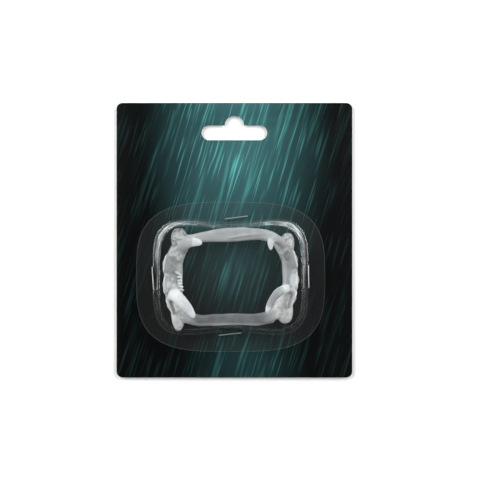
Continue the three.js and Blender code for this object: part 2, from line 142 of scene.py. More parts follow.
class Graph:
    """The nodes of one material."""

    def __init__(self, tree: bpy.types.NodeTree) -> None:
        """Empties a node tree and takes it over.

        Args:
            tree: The tree of a material or of the world.
        """
        self.tree = tree
        tree.nodes.clear()

    def node(self, kind: str, settings: Settings = None, sockets: Sockets = None) -> Node:
        """Adds any node.

        Args:
            kind: The node's type.
            settings: Its properties, set first; "stops" are a ramp's places and colours.
            sockets: Values or links of its inputs, by name or number.

        Returns:
            The node.
        """
        made = self.tree.nodes.new(kind)
        for name, value in (settings or {}).items():
            if name == "stops":
                self._set_stops(made.color_ramp, value)
            else:
                setattr(made, name, value)
        for key, value in (sockets or {}).items():
            if isinstance(value, Signal):
                self.tree.links.new(value.socket, made.inputs[key])
            elif isinstance(value, Socket):
                self.tree.links.new(value, made.inputs[key])
            elif isinstance(value, tuple) and len(value) == 3 and made.inputs[key].type == "RGBA":
                made.inputs[key].default_value = (*value, 1.0)
            else:
                made.inputs[key].default_value = value
        return made

    @staticmethod
    def _set_stops(ramp: bpy.types.ColorRamp, stops: Sequence[Pair]) -> None:
        """Sets a ramp's stops.

        Args:
            ramp: The ramp.
            stops: Pairs of place and grey value, in order.
        """
        while len(ramp.elements) < len(stops):
            ramp.elements.new(1.0)
        for element, (place, grey) in zip(ramp.elements, stops):
            element.position = place
            element.color = (grey, grey, grey, 1.0)

    def out(
        self, kind: str, output: Union[int, str], settings: Settings = None, sockets: Sockets = None
    ) -> Signal:
        """Adds any node and returns one of its outputs; see node for the other arguments.

        Args:
            kind: The node's type.
            output: The output's name or number.
            settings: Its properties.
            sockets: Its inputs.

        Returns:
            The output.
        """
        return Signal(self, self.node(kind, settings, sockets).outputs[output])

    def place(self, scale: Sequence[float], turn: float, shift: Sequence[float]) -> Signal:
        """Returns Object coordinates that are moved, turned and scaled.

        Args:
            scale: Factors on the three axes.
            turn: Turn about Z in degrees.
            shift: Move in metres, before the turn.
        """
        found = self.out("ShaderNodeTexCoord", "Object")
        rotation = (0.0, 0.0, math.radians(turn))
        for name, value in (("Location", shift), ("Rotation", rotation), ("Scale", scale)):
            sockets = {0: found, name: tuple(value)}
            found = self.out("ShaderNodeMapping", 0, {"vector_type": "POINT"}, sockets)
        return found

    def noise(self, size: float, detail: float, vector: Optional[Signal] = None) -> Signal:
        """Returns noise whose lumps are about size metres across.

        Args:
            size: Size of a lump in metres.
            detail: Octaves.
            vector: Coordinates, or None for Object coordinates.
        """
        where = vector or self.out("ShaderNodeTexCoord", "Object")
        sockets = {"Vector": where, "Scale": 1.0 / size, "Detail": detail, "Roughness": 0.5}
        return self.out("ShaderNodeTexNoise", "Fac", None, sockets)

    def attribute(self, name: str) -> Signal:
        """Returns a number stored on the mesh under name."""
        return self.out("ShaderNodeAttribute", "Fac", {"attribute_name": name})

    def ramp(self, value: Signal, *stops: Pair) -> Signal:
        """Returns value passed through a ramp of (place, grey) stops."""
        return self.out("ShaderNodeValToRGB", "Color", {"stops": stops}, {"Fac": value})

    def span(self, value: Signal, low: float, high: float) -> Signal:
        """Returns value spread smoothly from 0 at low to 1 at high."""
        settings = {"interpolation_type": "SMOOTHSTEP", "clamp": True}
        sockets = {"Value": value, "From Min": low, "From Max": high}
        return self.out("ShaderNodeMapRange", 0, settings, sockets)

    def blend(self, share: Number, first: Any, second: Any) -> Socket:
        """Mixes two colours.

        Args:
            share: Share of the second colour.
            first: Colour or socket.
            second: Colour or socket.

        Returns:
            The mixed colour's socket.
        """
        mix = self.node("ShaderNodeMix", {"data_type": "RGBA"}, {0: share})
        for socket, value in ((mix.inputs[6], first), (mix.inputs[7], second)):
            if isinstance(value, Socket):
                self.tree.links.new(value, socket)
            else:
                socket.default_value = (*value, 1.0)
        return mix.outputs[2]

    def bump(self, height: Signal, depth: float, strength: float) -> Signal:
        """Returns a normal that is bumped by height times depth in metres."""
        sockets = {"Height": height, "Distance": depth, "Strength": strength}
        return self.out("ShaderNodeBump", "Normal", None, sockets)

    def layer(self, share: Signal, under: Node, over: Node) -> Node:
        """Returns two shaders mixed, with a share of the one over the other."""
        return self.node("ShaderNodeMixShader", None, {0: share, 1: under.outputs[0], 2: over.outputs[0]})

    def surface(self, shader: Node) -> None:
        """Makes shader the material's surface."""
        self.node("ShaderNodeOutputMaterial", None, {"Surface": shader.outputs[0]})

    def principled(self, sockets: dict[str, Any]) -> None:
        """Makes a Principled shader with these sockets the material's surface."""
        self.surface(self.node("ShaderNodeBsdfPrincipled", None, sockets))


@dataclass(frozen=True)
class Finish:
    """A surface finish, made once and shared by the pieces that wear it."""

    name: str

    def paint(self, graph: Graph) -> None:
        """Builds the finish's nodes in graph."""
        raise NotImplementedError

    def material(self) -> bpy.types.Material:
        """Returns the finish's material, made when it is first asked for."""
        found = bpy.data.materials.get(self.name)
        if found is None:
            found = bpy.data.materials.new(self.name)
            found.use_nodes = True
            self.paint(Graph(found.node_tree))
        return found

    def dress(self, piece: Piece) -> None:
        """Puts the finish alone on a piece."""
        piece.data.materials.clear()
        piece.data.materials.append(self.material())


@dataclass(frozen=True)
class SoftPlastic(Finish):
    """Milky soft plastic: grey where thin over the dark card, white where thick or pressed on the film, plus
    painted shade and highlights.
    """

    name: str = "milky_soft_plastic"
    thin: Colour = (0.08, 0.085, 0.09)
    milky: Colour = (0.6, 0.61, 0.62)
    warm: Colour = (0.74, 0.735, 0.715)
    white_and_painted_highlight: Colour = (0.74, 0.755, 0.765)

    def paint(self, graph: Graph) -> None:
        """Builds the finish's nodes in graph."""
        cloud = graph.span(graph.noise(5 * MM, 3.0), 0.32, 0.7)
        mottle = graph.noise(1.3 * MM, 3.0)
        # The thick attribute also holds painted shade on the upper roots, one fang and the lower strap.
        thick = graph.attribute("thick")
        bulb = graph.attribute("bulb")
        lumps = graph.span(graph.noise(1.7 * MM, 3.0), 0.36, 0.64)
        depth = thick * 0.84 + cloud * 0.12 + mottle * 0.08 + bulb * (lumps - 0.5) * 0.42
        body = graph.blend(depth.held(), self.thin, self.milky)
        # The root attribute's warmth is set per root: lighter on the lower roots as painted light, darker on
        # the upper ones as painted shade.
        warm = graph.attribute("root") * (0.6 + lumps * 0.45)
        body = graph.blend(warm.held(), body, self.warm)
        # White where the plastic is pressed on the film, plus painted highlights on steep fang flanks, fang
        # ends and root tips.
        contact_white_and_painted_highlight = graph.span(graph.attribute("contact_white_and_painted_highlight") * (0.62 + mottle * 0.8), 0.05, 0.92)
        body = graph.blend(contact_white_and_painted_highlight.held(), body, self.white_and_painted_highlight)
        relief = graph.noise(2.4 * MM, 2.0) + 0.2 * graph.noise(0.35 * MM, 2.0) + bulb * lumps * 1.1
        graph.principled(
            {
                "Base Color": body,
                "Roughness": 0.34 + 0.2 * mottle,
                "Normal": graph.bump(relief, 0.18 * MM, 0.6),
                "IOR": 1.46,
                "Subsurface Weight": 0.18,
                "Subsurface Radius": (1.0, 0.95, 0.85),
                "Subsurface Scale": 1.6 * MM,
            }
        )


@dataclass(frozen=True)
class PrintedBoard(Finish):
    """Dark varnished board with slanting teal drizzle in front, and plain board at its edges and back."""

    name: str = "dark_varnished_board"
    ink: Colour = (0.0022, 0.0026, 0.0028)
    haze: Colour = (0.046, 0.138, 0.147)
    teal: Colour = (0.1, 0.43, 0.4)
    core: Colour = (0.5, 0.5, 0.48)
    core_fibre: Colour = (0.42, 0.42, 0.4)
    slant: float = 17.0
    upper_glow: tuple[Pair, Pair] = ((0.002, 0.052), (50 * MM, 104 * MM))
    lower_glow: tuple[Pair, Pair] = ((0.004, -0.062), (34 * MM, 36 * MM))

    def drizzle(self, graph: Graph, width: float, length: float, cut: Pair, shift: float) -> Signal:
        """Makes one layer of slanting streaks.

        Args:
            graph: The material's nodes.
            width: Width of a streak in metres.
            length: Its length in metres.
            cut: Noise levels between which a streak fades in.
            shift: Where the layer starts, in metres.

        Returns:
            The streaks, from 0 to 1.
        """
        lanes = graph.place((1.0 / width, 1.0 / length, 0.0), self.slant, (shift, 0.0, 0.0))
        return graph.span(graph.noise(1.0, 1.0, lanes), *cut)

    @staticmethod
    def glow(graph: Graph, middle: Pair, half: Pair) -> Signal:
        """Makes one soft oval of light.

        Args:
            graph: The material's nodes.
            middle: The oval's middle on the card in metres.
            half: Half its width and half its height.

        Returns:
            The light, from 1 in the middle to 0 at the oval's edge.
        """
        oval = graph.place((1.0 / half[0], 1.0 / half[1], 0.0), 0.0, (-middle[0], -middle[1], 0.0))
        reach = graph.out("ShaderNodeVectorMath", "Value", {"operation": "LENGTH"}, {0: oval})
        return 1.0 - graph.span(reach, 0.05, 1.0)

    def paint(self, graph: Graph) -> None:
        """Builds the finish's nodes in graph."""
        upper = self.glow(graph, *self.upper_glow)
        lower = self.glow(graph, *self.lower_glow)
        drift = graph.noise(50 * MM, 2.0)
        glow = ((upper + 0.3 * lower) * (0.38 + drift * 1.15)).held()
        fine = self.drizzle(graph, width=0.9 * MM, length=26 * MM, cut=(0.56, 0.74), shift=0.02)
        broad = self.drizzle(graph, width=2.4 * MM, length=44 * MM, cut=(0.52, 0.8), shift=0.3)
        streak = (fine * 0.75 + broad * 0.6) * (0.05 + glow)
        print_colour = graph.blend(glow * 0.8, self.ink, self.haze)
        print_colour = graph.blend(streak.held(), print_colour, self.teal)
        facing = graph.out("ShaderNodeNewGeometry", "Normal")
        front = graph.span(graph.out("ShaderNodeSeparateXYZ", "Z", None, {0: facing}), 0.5, 0.8)
        fibre = graph.noise(0.4 * MM, 3.0)
        raw = graph.blend(fibre, self.core_fibre, self.core)
        graph.principled(
            {
                "Base Color": graph.blend(front, raw, print_colour),
                "Roughness": 0.85 - 0.47 * front + 0.06 * fibre,
                "Normal": graph.bump(graph.noise(3 * MM, 3.0), 0.03 * MM, 0.5),
                "Specular IOR Level": 0.06,
            }
        )


@dataclass(frozen=True)
class ClearFilm(Finish):
    """Thin clear film's outer side: reflects more towards its edges, with haze and scuffs on its walls; the
    wall haze is weighted by direction as painted sheen.
    """

    name: str = "clear_thermoformed_film"
    tint: Colour = (0.965, 0.975, 0.975)
    haze_colour: Colour = (0.72, 0.78, 0.79)
    head_on: float = 0.05
    roof_haze: float = 0.009
    wall_haze_and_painted_sheen: float = 0.1
    edge_haze: float = 0.08

    def paint(self, graph: Graph) -> None:
        """Builds the finish's nodes in graph."""
        ripple = graph.bump(graph.noise(14 * MM, 0.0), 0.3 * MM, 0.12)
        slope = graph.out("ShaderNodeLayerWeight", "Facing", None, {"Blend": 0.5, "Normal": ripple})
        gloss = self.head_on + (1.0 - self.head_on) * slope ** 5.0
        from_matt = graph.out("ShaderNodeLightPath", "Is Diffuse Ray")
        scuff = graph.span(graph.noise(4.5 * MM, 4.0), 0.42, 0.72)
        # The wear attribute weights the haze by direction round the bubble: heavy on the upper corners, faint
        # at the bottom, a painted sheen on top of scuffing.
        worn = graph.attribute("wear") * (0.3 + scuff)
        haze = self.roof_haze + self.wall_haze_and_painted_sheen * slope ** 2.0 * worn
        haze = haze + self.edge_haze * graph.attribute("cut_edge")
        clear = graph.node("ShaderNodeBsdfTransparent", None, {"Color": self.tint})
        polish = {"Color": (1.0, 1.0, 1.0), "Roughness": 0.1, "Normal": ripple}
        shine = graph.node("ShaderNodeBsdfGlossy", None, polish)
        milk = graph.node("ShaderNodeBsdfDiffuse", None, {"Color": self.haze_colour})
        sheet = graph.layer(gloss * (1.0 - from_matt), clear, shine)
        graph.surface(graph.layer(haze.held(), sheet, milk))


@dataclass(frozen=True)
class FilmInside(Finish):
    """The film's inner side, which only lets light through, because the outer side has the gloss of both."""

    name: str = "clear_film_inner_side"
    tint: Colour = (0.99, 0.995, 0.995)

    def paint(self, graph: Graph) -> None:
        """Builds the finish's nodes in graph."""
        graph.surface(graph.node("ShaderNodeBsdfTransparent", None, {"Color": self.tint}))


@dataclass(frozen=True)
class SteelWire(Finish):
    """Bright drawn wire with faint wear."""

    name: str = "bright_staple_wire"
    worn: Colour = (0.62, 0.62, 0.62)
    bright: Colour = (0.92, 0.92, 0.91)

    def paint(self, graph: Graph) -> None:
        """Builds the finish's nodes in graph."""
        wear = graph.noise(0.5 * MM, 3.0)
        colour = graph.blend(wear, self.worn, self.bright)
        graph.principled({"Base Color": colour, "Roughness": 0.22 + 0.22 * wear, "Metallic": 1.0})


@dataclass(frozen=True)
class PaleFloor(Finish):
    """The plain pale floor of the studio."""

    name: str = "pale_floor"
    colour: Colour = (0.93, 0.93, 0.93)

    def paint(self, graph: Graph) -> None:
        """Builds the finish's nodes in graph."""
        graph.principled({"Base Color": self.colour, "Roughness": 0.8, "Specular IOR Level": 0.2})


class Bench:
    """The modelling steps that the pieces share. Each acts on what it is given, with all else deselected."""

    @staticmethod
    def clear() -> None:
        """Leaves edit mode and deselects everything."""
        if bpy.context.object and bpy.context.object.mode != "OBJECT":
            bpy.ops.object.mode_set(mode="OBJECT")
        bpy.ops.object.select_all(action="DESELECT")

    @staticmethod
    def take(*pieces: Piece) -> None:
        """Selects pieces alone and makes the first one active."""
        Bench.clear()
        for piece in pieces:
            piece.select_set(True)
        bpy.context.view_layer.objects.active = pieces[0]

    @staticmethod
    def link(name: str, data: bpy.types.ID) -> Piece:
        """Returns a new object in the scene, made of data."""
        made = bpy.data.objects.new(name, data)
        bpy.context.scene.collection.objects.link(made)
        return made

    @staticmethod
    def edit(piece: Piece, mode: str) -> None:
        """Opens a piece in edit mode with everything selected.

        Args:
            piece: The piece.
            mode: VERT, EDGE or FACE.
        """
        Bench.take(piece)
        bpy.ops.object.mode_set(mode="EDIT")
        bpy.ops.mesh.select_mode(type=mode)
        bpy.ops.mesh.select_all(action="SELECT")

    @staticmethod
    def close() -> None:
        """Turns all faces outwards and leaves edit mode."""
        bpy.ops.mesh.select_all(action="SELECT")
        bpy.ops.mesh.normals_make_consistent(inside=False)
        bpy.ops.object.mode_set(mode="OBJECT")

    @staticmethod
    def pick(piece: Piece, wanted: Callable[[bmesh.types.BMEdge], bool]) -> None:
        """Selects edges of the piece that is open in edit mode.

        Args:
            piece: The piece.
            wanted: Says of an edge whether it is selected.
        """
        mesh = bmesh.from_edit_mesh(piece.data)
        chosen = [edge for edge in mesh.edges if wanted(edge)]
        bpy.ops.mesh.select_all(action="DESELECT")
        for edge in chosen:
            edge.select_set(True)
        mesh.select_flush_mode()
        bmesh.update_edit_mesh(piece.data)

    @staticmethod
    def settle(piece: Piece) -> None:
        """Leaves edit mode and moves the piece's place into its mesh."""
        Bench.take(piece)
        bpy.ops.object.transform_apply(location=True, rotation=True, scale=True)

    @staticmethod
    def finish(piece: Piece, kind: str, **settings: Any) -> None:
        """Adds a modifier and applies it.

        Args:
            piece: The piece.
            kind: The modifier's type.
            settings: Its properties.
        """
        Bench.take(piece)
        modifier = piece.modifiers.new(kind.lower(), kind)
        for name, value in settings.items():
            setattr(modifier, name, value)
        bpy.ops.object.modifier_apply(modifier=modifier.name)

    @staticmethod
    def join(pieces: Sequence[Piece]) -> Piece:
        """Joins pieces into the first one and returns it."""
        Bench.take(*pieces)
        bpy.ops.object.join()
        return pieces[0]

    @staticmethod
    def name(name: str) -> Piece:
        """Names the new primitive and returns it."""
        piece = bpy.context.object
        piece.name = name
        piece.data.name = name
        return piece

    @staticmethod
    def smooth(piece: Piece, angle: float) -> None:
        """Shades a piece smooth where its faces meet at less than angle degrees."""
        Bench.take(piece)
        bpy.ops.object.shade_smooth_by_angle(angle=math.radians(angle))

    @staticmethod
    def hand_over(piece: Piece, slot: Slot, nodes: Iterable[str]) -> None:
        """Puts a finished piece on the body in place of its solids.

        Args:
            piece: The piece.
            slot: The material slot; not used.
            nodes: The solids that it stands for.
        """
        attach(piece, BODY)
        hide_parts(*nodes)
        LOG.info("%s: %d faces", piece.name, len(piece.data.polygons))


@dataclass(frozen=True)
class Limb:
    """A fang or a root bulge.

    Its line runs in shares of the denture's half sizes and highest fang line. White starts at a share of the
    way along it, and a fang's middle can be less white than its rims and ends, which hold painted highlights.
    A limb's bulk thins it as painted shade, and a root's warmth lightens it, most on the lower roots, as
    painted light.
    """

    line: tuple[Triple, ...]
    girth: float
    white_from: float = 0.0
    middle_white: float = 1.0
    warmth_with_painted_light: float = 0.0
    bulk_with_painted_shade: float = 1.0


@dataclass(frozen=True)
class Patch:
    """A round place on the denture: a swelling, or a white place where the plastic is pressed on the film or
    carries a painted highlight.
    """

    middle: Triple
    radii: Triple
    strength: float = 1.0


@dataclass
class FangDenture:
    """The one-piece denture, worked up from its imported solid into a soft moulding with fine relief."""

    half_length: float = 32.6 * MM
    half_depth: float = 23.9 * MM
    fang_top: float = 17.5 * MM
    voxel: float = 0.4 * MM
    fangs: tuple[Limb, ...] = (
        Limb(
            ((-0.867, -0.2, 0.42), (-0.845, -0.414, 0.98), (-0.659, -0.48, 1.02), (-0.541, -0.815, 0.95)),
            girth=3.1 * MM, white_from=0.12, middle_white=0.55,
        ),
        Limb(
            ((0.889, -0.23, 0.42), (0.8, -0.19, 1.0), (0.6, -0.33, 1.02), (0.533, -0.72, 0.95)),
            girth=2.3 * MM, white_from=0.1, middle_white=0.12, bulk_with_painted_shade=0.6,
        ),
        Limb(
            ((-0.72, 0.56, 0.42), (-0.7, 0.7, 0.86), (-0.6, 0.74, 1.04), (-0.42, 0.69, 0.99)),
            girth=2.9 * MM, white_from=0.62, middle_white=0.7,
        ),
        Limb(
            ((0.778, 0.66, 0.42), (0.66, 0.84, 0.84), (0.55, 0.83, 1.05), (0.6, 0.55, 0.99)),
            girth=2.1 * MM, white_from=0.56, middle_white=0.5,
        ),
    )
    # Warmth and bulk differ between the roots: the lower roots are lighter as painted light, the upper ones
    # thinner and darker as painted shade.
    roots: tuple[Limb, ...] = (
        Limb(((-0.79, -0.55, 0.36), (-0.795, -0.8, 0.35), (-0.77, -1.055, 0.17)), 3.3 * MM, warmth_with_painted_light=1.0),
        Limb(((0.77, -0.42, 0.37), (0.78, -0.62, 0.36), (0.83, -0.92, 0.17)), 4.6 * MM, warmth_with_painted_light=1.0),
        Limb(
            ((-0.76, 0.62, 0.37), (-0.77, 0.8, 0.37), (-0.775, 0.97, 0.18)),
            girth=4.1 * MM, warmth_with_painted_light=0.03, bulk_with_painted_shade=0.38,
        ),
        Limb(((-0.8, 0.36, 0.4), (-0.785, 0.47, 0.48), (-0.77, 0.62, 0.4)), 3.3 * MM, warmth_with_painted_light=0.3),
        Limb(
            ((0.81, 0.46, 0.38), (0.85, 0.68, 0.38), (0.85, 0.88, 0.18)),
            girth=3.6 * MM, warmth_with_painted_light=0.1, bulk_with_painted_shade=0.68,
        ),
    )
    patches: tuple[Patch, ...] = (
        Patch((0.93, -0.06, 0.7), (2.9 * MM, 4.2 * MM, 8 * MM), strength=0.8),
        Patch((0.98, -0.38, 0.6), (1.3 * MM, 2.8 * MM, 8 * MM)),
        Patch((-0.9, -0.14, 0.62), (3.4 * MM, 2.2 * MM, 4 * MM), strength=0.7),
        Patch((-0.87, -0.36, 0.7), (2.9 * MM, 3.6 * MM, 8 * MM), strength=0.6),
        Patch((-0.874, -0.05, 0.5), (0.8 * MM, 0.8 * MM, 1.5 * MM)),
        Patch((-0.75, 0.8, 0.35), (2.8 * MM, 1.9 * MM, 8 * MM), strength=0.32),
        Patch((0.87, 0.7, 0.35), (1.8 * MM, 2.2 * MM, 8 * MM), strength=0.32),
        Patch((-0.784, -1.07, 0.2), (2.0 * MM, 1.5 * MM, 8 * MM), strength=0.7),
        Patch((0.834, -0.82, 0.3), (2.2 * MM, 1.6 * MM, 8 * MM), strength=0.5),
    )
    swellings: tuple[Patch, ...] = (
        Patch((-0.874, -0.05, 0.487), (0.6 * MM, 0.6 * MM, 0.5 * MM)),
        Patch((-0.86, -0.36, 0.6), (2.9 * MM, 3.6 * MM, 4.2 * MM)),
        Patch((-0.784, -1.06, 0.2), (1.6 * MM, 1.1 * MM, 1.1 * MM)),
        Patch((0.93, -0.27, 0.6), (1.5 * MM, 2.1 * MM, 4.0 * MM)),
    )
    ribs: tuple[tuple[Triple, Triple], ...] = (
        ((-0.82, 0.1, 0.5), (-0.72, 0.04, 0.5)),
        ((-0.78, 0.0, 0.5), (-0.715, -0.015, 0.5)),
        ((-0.775, -0.075, 0.5), (-0.715, -0.065, 0.5)),
        ((-0.77, -0.13, 0.5), (-0.71, -0.13, 0.5)),
        ((-0.77, -0.19, 0.5), (-0.7, -0.2, 0.5)),
        ((-0.75, -0.255, 0.5), (-0.69, -0.27, 0.5)),
    )
    rib_radii: Triple = (0.5 * MM, 0.42 * MM, 0.8 * MM)
    lip: tuple[Triple, ...] = (
        (-0.56, -0.955, 0.3),
        (-0.23, -0.965, 0.35),
        (0.1, -0.95, 0.36),
        (0.4, -0.965, 0.36),
        (0.64, -0.9, 0.3),
    )
    lip_radii: Triple = (0.8 * MM, 0.7 * MM, 0.9 * MM)
    fold: tuple[Triple, ...] = ((-0.02, 0.79, 0.415), (0.2, 0.845, 0.42), (0.46, 0.875, 0.425))
    fold_radii: Triple = (0.6 * MM, 0.5 * MM, 0.45 * MM)
    tip_beads: tuple[Pair, ...] = ((20, 0.4), (140, 0.34), (260, 0.3))
    tip_bead_rise: float = 0.35
    tip_bead_radii: Triple = (1.1 * MM, 1.0 * MM, 0.9 * MM)
    incisor_contact: Pair = (12.6 * MM, 13.6 * MM)
    fang_contact: Pair = (9.2 * MM, 10.4 * MM)
    smoothing_rounds: int = 4
    unevenness_size: float = 5 * MM
    unevenness: float = 0.35 * MM
    centre: Vector = field(default_factory=Vector)
    floor: float = 0.0

    def locate(self) -> None:
        """Takes the denture's middle and its lowest level from the frame."""
        low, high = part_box("blister")
        self.centre = (low + high) / 2
        self.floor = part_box("fang_denture")[0].z

    def point(self, place: Sequence[float]) -> Vector:
        """Returns a point from shares of the half length, half depth and highest fang line."""
        x = self.centre.x + place[0] * self.half_length
        y = self.centre.y + place[1] * self.half_depth
        return Vector((x, y, self.floor + place[2] * self.fang_top))

    def along(self, limb: Limb, count: int) -> Array:
        """Samples a limb's middle line.

        Args:
            limb: The limb.
            count: How many points.

        Returns:
            The points as rows.
        """
        controls = np.array([self.point(p) for p in limb.line])
        degree = len(controls) - 1
        shares = np.linspace(0.0, 1.0, count)[:, None]
        powers = range(degree + 1)
        weights = [math.comb(degree, k) * shares**k * (1 - shares) ** (degree - k) for k in powers]
        return sum(weight * control for weight, control in zip(weights, controls))

    def body(self) -> Piece:
        """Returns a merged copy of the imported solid."""
        piece = Bench.link("denture_moulding", bpy.data.objects["fang_denture"].data.copy())
        Bench.edit(piece, "VERT")
        bpy.ops.mesh.remove_doubles(threshold=0.002 * MM)
        bpy.ops.object.mode_set(mode="OBJECT")
        return piece

    def bead(self, middle: Vector, radii: Sequence[float]) -> Piece:
        """Adds a small rounded swelling.

        Args:
            middle: Its middle.
            radii: Its half sizes.

        Returns:
            The swelling.
        """
        Bench.clear()
        bpy.ops.mesh.primitive_ico_sphere_add(subdivisions=2, radius=1.0, location=middle)
        piece = Bench.name("swelling")
        piece.scale = radii
        Bench.settle(piece)
        return piece

    def ridge(self, line: Sequence[Triple], radii: Sequence[float]) -> list[Piece]:
        """Adds swellings so close along a line that they melt into a ridge.

        Args:
            line: The ridge's points in shares of the denture.
            radii: A swelling's half sizes.

        Returns:
            The swellings.
        """
        made = []
        for start, end in zip(line, line[1:]):
            first, last = self.point(start), self.point(end)
            count = max(1, math.ceil((last - first).length / (0.7 * radii[0])))
            made += [self.bead(first.lerp(last, step / count), radii) for step in range(count)]
        return made

    def relief(self) -> list[Piece]:
        """Makes the moulding's small raised details."""
        made = [self.bead(self.point(swelling.middle), swelling.radii) for swelling in self.swellings]
        for limb in self.roots:
            near_tip = Vector(self.along(limb, 12)[-3])
            for angle, reach in self.tip_beads:
                turn = math.radians(angle)
                aside = Vector((math.cos(turn), math.sin(turn), self.tip_bead_rise)) * limb.girth * reach
                made.append(self.bead(near_tip + aside, self.tip_bead_radii))
        made += self.ridge(self.lip, self.lip_radii)
        for rib in self.ribs:
            made += self.ridge(rib, self.rib_radii)
        made += self.ridge(self.fold, self.fold_radii)
        return made

    @staticmethod
    def spread(values: Array, low: float, high: float) -> Array:
        """Returns values spread smoothly from 0 at low to 1 at high."""
        share = np.clip((values - low) / (high - low), 0.0, 1.0)
        return share * share * (3.0 - 2.0 * share)

    @staticmethod
    def fade(values: Array, low: float, high: float) -> Array:
        """Returns values spread smoothly from 1 at low to 0 at high."""
        return 1.0 - FangDenture.spread(values, low, high)

    @staticmethod
    def rows(piece: Piece, kind: str) -> Array:
        """Returns one vector of each vertex, its co or its normal, as rows."""
        flat = np.zeros(len(piece.data.vertices) * 3)
        piece.data.vertices.foreach_get(kind, flat)
        return flat.reshape(-1, 3)

    def nearest(self, points: Array, limb: Limb) -> tuple[Array, Array]:
        """Finds how far points are from a limb's middle line.

        Args:
            points: The points as rows.
            limb: The limb.

        Returns:
            Each point's distance in girths, and its share of the way along the limb.
        """
        gaps = np.full(len(points), 1e9)
        shares = np.zeros(len(points))
        line = self.along(limb, 48)
        for number, spot in enumerate(line):
            gap = np.linalg.norm(points - spot, axis=1)
            closer = gap < gaps
            gaps[closer] = gap[closer]
            shares[closer] = number / (len(line) - 1)
        return gaps / limb.girth, shares

    def pressed_white_and_painted_highlight(self, points: Array, normals: Array) -> Array:
        """Finds where the plastic is pressed white against the film, and where it gets painted highlights.

        Args:
            points: The denture's points as rows.
            normals: Their normals as rows.

        Returns:
            Each point's white from pressing and painted highlights, from 0 to 1.
        """
        away = points[:, :2] - np.array(self.centre[:2])
        away /= np.linalg.norm(away, axis=1)[:, None]
        outwards = np.sum(normals[:, :2] * away, axis=1)
        height = points[:, 2] - self.floor
        contact_white_and_painted_highlight = self.spread(height, *self.incisor_contact) * self.spread(outwards, 0.3, 0.6)
        raised = self.spread(height, *self.fang_contact)
        # Steep flanks and the two ends of each fang are whiter than its middle: painted highlights along the
        # rims.
        edge = self.fade(normals[:, 2], 0.35, 0.62)
        for limb in self.fangs:
            gaps, shares = self.nearest(points, limb)
            on_limb = self.fade(gaps, 1.15, 1.45)
            started = self.spread(shares, limb.white_from, limb.white_from + 0.15)
            ends = 0.85 * np.maximum(self.fade(shares, 0.28, 0.45), self.spread(shares, 0.8, 0.95))
            pressed_and_painted_highlight = limb.middle_white + (1.0 - limb.middle_white) * np.maximum(edge, ends)
            contact_white_and_painted_highlight = np.where(on_limb > 0.02, on_limb * started * pressed_and_painted_highlight * raised, contact_white_and_painted_highlight)
        # Patches whiten round places: pressed plastic, and painted highlights on the root tips.
        for patch in self.patches:
            offset = (points - np.array(self.point(patch.middle))) / np.array(patch.radii)
            pressed_and_painted_highlight = patch.strength * self.fade(np.linalg.norm(offset, axis=1), 0.5, 1.15)
            contact_white_and_painted_highlight = np.maximum(contact_white_and_painted_highlight, pressed_and_painted_highlight)
        for rib in self.ribs:
            gaps, _ = self.nearest(points, Limb(rib, self.rib_radii[0]))
            contact_white_and_painted_highlight = np.maximum(contact_white_and_painted_highlight, 0.9 * self.fade(gaps, 1.1, 1.7))
        return contact_white_and_painted_highlight

    def root_bulges(self, points: Array) -> tuple[Array, Array]:
        """Finds the root bulges.

        Args:
            points: The denture's points as rows.

        Returns:
            How far each point is on a bulge, and how warm its white is there, from 0 to 1: set per root, high
            on the lower roots as painted light and low on the upper ones as painted shade.
        """
        bulb, warm = np.zeros(len(points)), np.zeros(len(points))
        for limb in self.roots:
            gaps, _ = self.nearest(points, limb)
            near = self.fade(gaps, 0.8, 1.35)
            bulb = np.maximum(bulb, near)
            warm = np.maximum(warm, limb.warmth_with_painted_light * near)
        return bulb, warm

    def thickness(self, points: Array) -> Array:
        """Finds how thick the plastic looks. The upper roots and one fang are thinned as painted shade, the
        lower strap is darkened as painted shade with its lip left lighter as a painted highlight, and the
        upper strap and the plate round the ribs are darker too.

        Args:
            points: The denture's points as rows.

        Returns:
            Each point's thickness with its painted shade, from 0 where the dark card shows through to 1.
        """
        bulk_with_painted_shade = np.ones(len(points))
        for limb in (*self.fangs, *self.roots):
            gaps, _ = self.nearest(points, limb)
            bulk_with_painted_shade *= 1.0 - (1.0 - limb.bulk_with_painted_shade) * self.fade(gaps, 0.7, 1.3)
        for rib in self.ribs:
            gaps, _ = self.nearest(points, Limb(rib, self.rib_radii[0]))
            bulk_with_painted_shade *= 1.0 - 0.35 * self.fade(gaps, 2.0, 3.4)
        u = (points[:, 0] - self.centre.x) / self.half_length
        v = (points[:, 1] - self.centre.y) / self.half_depth
        # The lower strap is darkened as painted shade; its lip stays lighter as a painted highlight.
        lower_strap_painted_shade = self.fade(np.abs(u), 0.45, 0.72) * self.fade(v, -0.8, -0.6)
        lip = self.spread(-v, 0.92, 0.955)
        upper_strap = self.fade(np.abs(u - 0.08), 0.3, 0.65) * self.spread(v, 0.5, 0.65)
        return 0.72 * bulk_with_painted_shade * (1.0 - 0.16 * upper_strap) * (1.0 - 0.95 * lower_strap_painted_shade * (1.0 - 0.5 * lip))

    def paint_places(self, piece: Piece) -> None:
        """Stores on the mesh the thickness, root bulges and pressed white, which also carry painted shade and
        highlights.
        """
        points = self.rows(piece, "co")
        contact_white_and_painted_highlight = self.pressed_white_and_painted_highlight(points, self.rows(piece, "normal"))
        bulb, warm = self.root_bulges(points)
        layers = {"contact_white_and_painted_highlight": contact_white_and_painted_highlight, "root": warm, "bulb": bulb, "thick": self.thickness(points)}
        for name, values in layers.items():
            layer = piece.data.attributes.new(name, "FLOAT", "POINT")
            layer.data.foreach_set("value", values.astype(np.float32))

